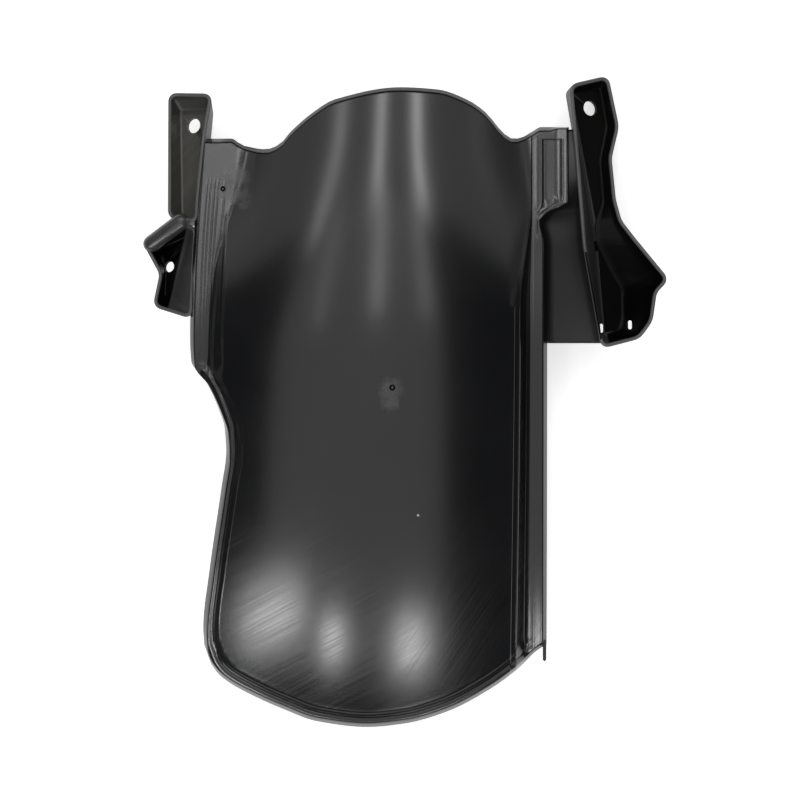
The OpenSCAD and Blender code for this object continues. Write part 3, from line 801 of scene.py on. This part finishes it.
# Material. Every surface is the same plastic, smoother or duller, with marks where the photo shows them
# The pockets and pin marks carry painted shade, and the ridge, rims, tray floor and channel wall carry
# painted light.
class Nodes:
    """Short helper for building a node tree."""

    def __init__(self, tree):
        self.tree = tree

    def new(self, kind, links=(), **values):
        node = self.tree.nodes.new(kind)
        for k, v in values.items():
            setattr(node, k, v)
        for socket, value in dict(links).items():
            target = node.inputs[socket]
            if isinstance(value, bpy.types.NodeSocket):
                self.tree.links.new(value, target)
            else:
                target.default_value = value
        return node


def near_spot(nodes, place, x, y, size):
    """1 at a spot of the plan (in mm), fading to 0 over the given size."""
    centre = ((x + SHIFT_X) / 1000, (y + SHIFT_Y) / 1000, 0)
    spot = nodes.new("ShaderNodeVectorMath", {0: place, 1: centre}, operation="SUBTRACT")
    flat = nodes.new("ShaderNodeVectorMath", {0: spot.outputs[0], 1: (1, 1, 0)}, operation="MULTIPLY")
    reach = nodes.new("ShaderNodeVectorMath", {0: flat.outputs[0]}, operation="LENGTH")
    return scale(nodes, reach.outputs["Value"], size / 1000, 0, 0, 1)


def streaks(nodes, place, turn, fine, long):
    """Fine parallel tool marks that run at the given angle in the plan."""
    turned = nodes.new("ShaderNodeMapping", {"Vector": place, "Rotation": (0, 0, radians(-turn))})
    lay = nodes.new("ShaderNodeMapping", {"Vector": turned.outputs[0], "Scale": (long, fine, long)})
    noise = nodes.new("ShaderNodeTexNoise", {"Vector": lay.outputs[0], "Scale": 1.0, "Detail": 3.0})
    return noise.outputs["Fac"]


def scale(nodes, value, a, b, lo, hi):
    """Value from the range a to b, brought to the range lo to hi."""
    ranges = {"Value": value, "From Min": a, "From Max": b, "To Min": lo, "To Max": hi}
    return nodes.new("ShaderNodeMapRange", ranges).outputs[0]


def times(nodes, a, b):
    return nodes.new("ShaderNodeMath", {0: a, 1: b}, operation="MULTIPLY").outputs[0]


def times_plus(nodes, a, b, c):
    return nodes.new("ShaderNodeMath", {0: a, 1: b, 2: c}, operation="MULTIPLY_ADD").outputs[0]


def blend_colour(nodes, share, colour, tint):
    return nodes.new("ShaderNodeMix", {0: share, 6: colour, 7: tint + (1,)}, data_type="RGBA").outputs[2]


# Smudges round the two gate marks: place and reach in mm
SMUDGES = (
    (-7.5, 6.5, 17), (-8.5, -1.5, 13), (-106, 126, 16), (-97, 124, 13), (-101, 134, 18), (-95.5, 118, 9),
)
SMUDGE_GREY, FLECK_GREY = (0.034, 0.034, 0.035), (0.4, 0.4, 0.4)
FLECK = (8.1, -68.4, 1.1)


def add_marks(nodes, place, part, colour, shine, height):
    """Tool lines that grow towards the tail, smudges and one pale fleck."""
    rows_low = streaks(nodes, place, 28, 1500.0, 18.0)
    rows_side = streaks(nodes, place, 56, 1400.0, 16.0)
    to_side = scale(nodes, part.outputs[0], -0.02, 0.03, 0, 1)
    lines = nodes.new("ShaderNodeMix", {0: to_side, 2: rows_low, 3: rows_side}).outputs[0]
    worn = times(nodes, lines, scale(nodes, part.outputs[1], 0.06, -0.12, 0.05, 1.0))
    height = times_plus(nodes, worn, 0.8, height)
    shine = times_plus(nodes, scale(nodes, worn, 0.36, 0.62, 0, 0.07), 1, shine)
    smear = nodes.new("ShaderNodeTexNoise",
                      {"Vector": place, "Scale": 130.0, "Detail": 6.0, "Roughness": 0.7}).outputs["Fac"]
    for spot in SMUDGES:
        patch = scale(nodes, times(nodes, near_spot(nodes, place, *spot), smear), 0.24, 0.40, 0, 1)
        colour = blend_colour(nodes, patch, colour, SMUDGE_GREY)
        shine = times_plus(nodes, patch, 0.1, shine)
    fleck = scale(nodes, near_spot(nodes, place, *FLECK), 0.2, 0.6, 0, 1)
    return blend_colour(nodes, fleck, colour, FLECK_GREY), shine, height


def add_painted_light(nodes, place, colour, painted_light):
    """Painted light, a pale tint laid over the colour in streaks."""
    cover = scale(nodes, streaks(nodes, place, 52, 520.0, 26.0), 0.3, 0.7, 0.55, 1.0)
    return blend_colour(nodes, cover, colour, painted_light)


def add_beyond(nodes, part, colour, beyond):
    """Another colour beyond a line in the plan, given by its normal, its distance and the blend's width."""
    nx, ny, start, width, tint = beyond
    past = times_plus(nodes, part.outputs[0], nx, times(nodes, part.outputs[1], ny))
    return blend_colour(nodes, scale(nodes, past, start, start + width, 0, 1), colour, tint)


def plastic_material(name, dark, pale, rough, marks=False, painted_light=None, specular=0.5, beyond=None):
    """Black plastic between two tones and two roughnesses, which a slow noise mixes."""
    mat = bpy.data.materials.new(name)
    mat.use_nodes = True
    tree = mat.node_tree
    tree.nodes.clear()
    nodes = Nodes(tree)
    out = nodes.new("ShaderNodeOutputMaterial")
    bsdf = nodes.new("ShaderNodeBsdfPrincipled")
    tree.links.new(bsdf.outputs[0], out.inputs[0])
    bsdf.inputs["Specular IOR Level"].default_value = specular
    place = nodes.new("ShaderNodeTexCoord").outputs["Object"]
    part = nodes.new("ShaderNodeSeparateXYZ", {0: place})
    cloud = nodes.new("ShaderNodeTexNoise", {"Vector": place, "Scale": 14.0, "Detail": 5.0}).outputs["Fac"]
    grain = nodes.new("ShaderNodeTexNoise", {"Vector": place, "Scale": 1400.0, "Detail": 3.0}).outputs["Fac"]
    tone = nodes.new("ShaderNodeValToRGB", {"Fac": cloud})
    for element, position, shade in zip(tone.color_ramp.elements, (0.35, 0.7), (dark, pale)):
        element.position = position
        element.color = shade + (1,)
    colour = tone.outputs[0]
    shine = scale(nodes, cloud, 0.3, 0.7, *rough)
    height = times(nodes, grain, 0.12)
    if marks:
        colour, shine, height = add_marks(nodes, place, part, colour, shine, height)
    if painted_light:
        colour = add_painted_light(nodes, place, colour, painted_light)
    if beyond:
        colour = add_beyond(nodes, part, colour, beyond)
    tree.links.new(colour, bsdf.inputs["Base Color"])
    tree.links.new(shine, bsdf.inputs["Roughness"])
    bump = nodes.new("ShaderNodeBump", {"Height": height, "Strength": 0.5, "Distance": 0.00005})
    tree.links.new(bump.outputs[0], bsdf.inputs["Normal"])
    return mat


# Painted shade: the two near-black tones below darken the pockets and the pin marks below the plain black
# plastic.
SHADE_DARK, SHADE_PALE = (0.0008, 0.0008, 0.0009), (0.0014, 0.0014, 0.0015)
# Painted light: grey colour on the cup's slanted face beyond this line.
CUP_LIT_FACE = (0.9751, -0.2216, -0.1517, 0.0007, (0.042, 0.042, 0.042))
# The channel's painted shade eases a little beyond this line, towards its far end.
CHANNEL_SHADE_FADE = (0, 1, 0.095, 0.04, (0.0028, 0.0028, 0.0026))
# Painted shade: darker colour on the tray's upper end wall beyond this line.
TRAY_END_SHADE = (0, 1, 0.1722, 0.0008, (0.024, 0.024, 0.022))

black = plastic_material("black_plastic", (0.004, 0.004, 0.0045), (0.0058, 0.0058, 0.0063), (0.17, 0.21),
                         marks=True)
dull = plastic_material("dull_plastic", (0.003, 0.003, 0.0028), (0.006, 0.006, 0.0056), (0.40, 0.48))
# Cup: painted shade in its hollow, and painted light on its slanted face.
cup_shade_and_lit_face = plastic_material("cup_shade_plastic", SHADE_DARK, SHADE_PALE, (0.34, 0.4), specular=0.1, beyond=CUP_LIT_FACE)
# Channel: painted shade, a little less towards its far end.
channel_shade = plastic_material("channel_shade_plastic", SHADE_DARK, SHADE_PALE, (0.3, 0.36), specular=0.08,
                                beyond=CHANNEL_SHADE_FADE)
# Ridge: painted sheen, a greyer colour for the broad highlight along the roll.
ridge_sheen = plastic_material("ridge_sheen_plastic", (0.03, 0.03, 0.03), (0.05, 0.05, 0.05), (0.26, 0.34))
# Painted shade on the pin marks, so that they read as dark holes.
pin_shade = plastic_material("pin_shade_plastic", SHADE_DARK, SHADE_PALE, (0.3, 0.36), specular=0.07)
# Painted light on the channel's wall towards the shell.
lit_wall = plastic_material("lit_wall_plastic", (0.022, 0.022, 0.021), (0.03, 0.03, 0.029), (0.4, 0.5))
# Painted light: pale colour along the pockets' rounded rims.
rim = plastic_material("lit_rim_plastic", (0.05, 0.05, 0.05), (0.095, 0.095, 0.094), (0.36, 0.46))
# Tray: painted light, a pale greenish tint in streaks over the floor, with painted shade at its upper end.
tray_light_and_shade = plastic_material("tray_light_and_shade_plastic", (0.012, 0.012, 0.012), (0.02, 0.02, 0.019), (0.4, 0.5),
                         painted_light=(0.05, 0.048, 0.04), beyond=TRAY_END_SHADE)


def paint_rim(ob):
    """Gives the rounded rim of a pocket the pale rim material, which is painted light along the rim."""
    points = RIM_POINTS[ob.name]
    near = KDTree(len(points))
    for k, p in enumerate(points):
        near.insert(p, k)
    near.balance()
    ob.data.materials.append(rim)
    at_rim = [near.find(v.co)[2] < 0.00012 for v in ob.data.vertices]
    for p in ob.data.polygons:
        if all(at_rim[v] for v in p.vertices):
            p.material_index = 1


# Top of the channel's wall towards the shell, and how far the wall reaches from it, in mm
INNER_WALL, INNER_WALL_W = [(101.2, 187), (109, 93), (119.5, 34)], 4.8


def paint_inner_wall(ob):
    """Gives the channel's wall towards the shell a greyer material, which is painted light."""
    ob.data.materials.append(lit_wall)
    for p in ob.data.polygons:
        x, y = p.center.x * 1000 - SHIFT_X, p.center.y * 1000 - SHIFT_Y
        if not p.material_index and abs(p.normal.z) < 0.9 and near_path(x, y, INNER_WALL) < INNER_WALL_W:
            p.material_index = 2


for ob, mat in ((shell, black), (web, dull), (channel, channel_shade), (tray, tray_light_and_shade), (cup, cup_shade_and_lit_face),
                (ridge, ridge_sheen), (tab, black), (pin_low, pin_shade), (pin_high, pin_shade)):
    ob.data.materials.clear()
    ob.data.materials.append(mat)
    if ob in (channel, tray, cup):
        paint_rim(ob)
        for p in ob.data.polygons:
            p.use_smooth = p.use_smooth and len(p.vertices) <= 8
    if ob is channel:
        paint_inner_wall(ob)
    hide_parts("fender")
    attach(ob, "root")

# Floor, in metres: white to the camera and to reflections, and small, so that it lights little from below
FLOOR_HALF, FLOOR_Z, FLOOR_GLOW = 0.55, -0.0004, 0.6


def build_floor():
    corners = [(x * FLOOR_HALF, y * FLOOR_HALF, FLOOR_Z) for x, y in ((-1, -1), (1, -1), (1, 1), (-1, 1))]
    me = bpy.data.meshes.new("floor")
    me.from_pydata(corners, [], [(0, 1, 2, 3)])
    ob = bpy.data.objects.new("floor", me)
    bpy.context.collection.objects.link(ob)
    mat = bpy.data.materials.new("white_floor")
    mat.use_nodes = True
    tree = mat.node_tree
    tree.nodes.clear()
    nodes = Nodes(tree)
    out = nodes.new("ShaderNodeOutputMaterial")
    diffuse = nodes.new("ShaderNodeBsdfDiffuse", {"Color": (0.8, 0.8, 0.8, 1)})
    path = nodes.new("ShaderNodeLightPath").outputs
    rays = {0: path["Is Camera Ray"], 1: path["Is Glossy Ray"]}
    seen = nodes.new("ShaderNodeMath", rays, operation="MAXIMUM")
    glow = times(nodes, seen.outputs[0], FLOOR_GLOW)
    emit = nodes.new("ShaderNodeEmission", {"Color": (1, 1, 1, 1), "Strength": glow})
    add = nodes.new("ShaderNodeAddShader")
    tree.links.new(diffuse.outputs[0], add.inputs[0])
    tree.links.new(emit.outputs[0], add.inputs[1])
    tree.links.new(add.outputs[0], out.inputs[0])
    me.materials.append(mat)
    return ob


floor = build_floor()

# Lamps. Each is given by two tilts off the vertical in degrees, then metres, and the radiance it shows


def lamp(name, side_deg, end_deg, distance, width, length, radiance):
    """Area lamp that faces the part from a direction given as two tilts off the vertical."""
    data = bpy.data.lights.new(name, "AREA")
    data.shape = "RECTANGLE"
    data.size, data.size_y = width, length
    data.energy = radiance * pi * width * length
    ob = bpy.data.objects.new(name, data)
    bpy.context.collection.objects.link(ob)
    away = Vector((tan(radians(side_deg)), tan(radians(end_deg)), 1)).normalized()
    ob.location = away * distance
    flat = Vector((0, 1, 0)).cross(away).normalized()
    ob.rotation_euler = Matrix((flat, away.cross(flat), away)).transposed().to_euler()


lamp("ceiling", -7, -16, 11, 11.2, 18.5, 0.96)
lamp("far_wall", -6, 42, 12, 30.0, 7.0, 0.8)
far_lamps = ((-30, -21, 6.5, 1.6), (-5, -2, 10.5, 4.6), (18, 14.5, 12.5, 2.6))
for k, (side, low_side, far, low) in enumerate(far_lamps):
    lamp("row_far_%d" % k, side, 36, 12, 0.7, 5.4, far)
    lamp("row_tail_%d" % k, low_side, 15, 11, 0.7, 4.0, low)
near_lamps = ((-39, -50, 3.0, 1.9, 16), (-17, -52.5, 0.9, 1.5, 30), (16.5, -54, 1.5, 2.0, 21))
for k, (side, end, width, length, radiance) in enumerate(near_lamps):
    lamp("row_near_%d" % k, side, end, 12, width, length, radiance)
lamp("right_wall", 60, 34, 10.0, 4.0, 6.0, 0.3)
lamp("left_wall", -66, 20, 10.0, 3.0, 8.0, 0.3)

# World: white behind the part, and almost dark for everything else
world = bpy.data.worlds.new("world")
bpy.context.scene.world = world
world.use_nodes = True
tree = world.node_tree
tree.nodes.clear()
nodes = Nodes(tree)
out = nodes.new("ShaderNodeOutputWorld")
path = nodes.new("ShaderNodeLightPath")
dim = nodes.new("ShaderNodeBackground", {"Color": (0.85, 0.92, 1, 1), "Strength": 0.05})
white = nodes.new("ShaderNodeBackground", {"Color": (1, 1, 1, 1), "Strength": 1.0})
choose = nodes.new("ShaderNodeMixShader", {0: path.outputs["Is Camera Ray"]})
tree.links.new(dim.outputs[0], choose.inputs[1])
tree.links.new(white.outputs[0], choose.inputs[2])
tree.links.new(choose.outputs[0], out.inputs[0])

bpy.context.scene.view_settings.view_transform = "Standard"
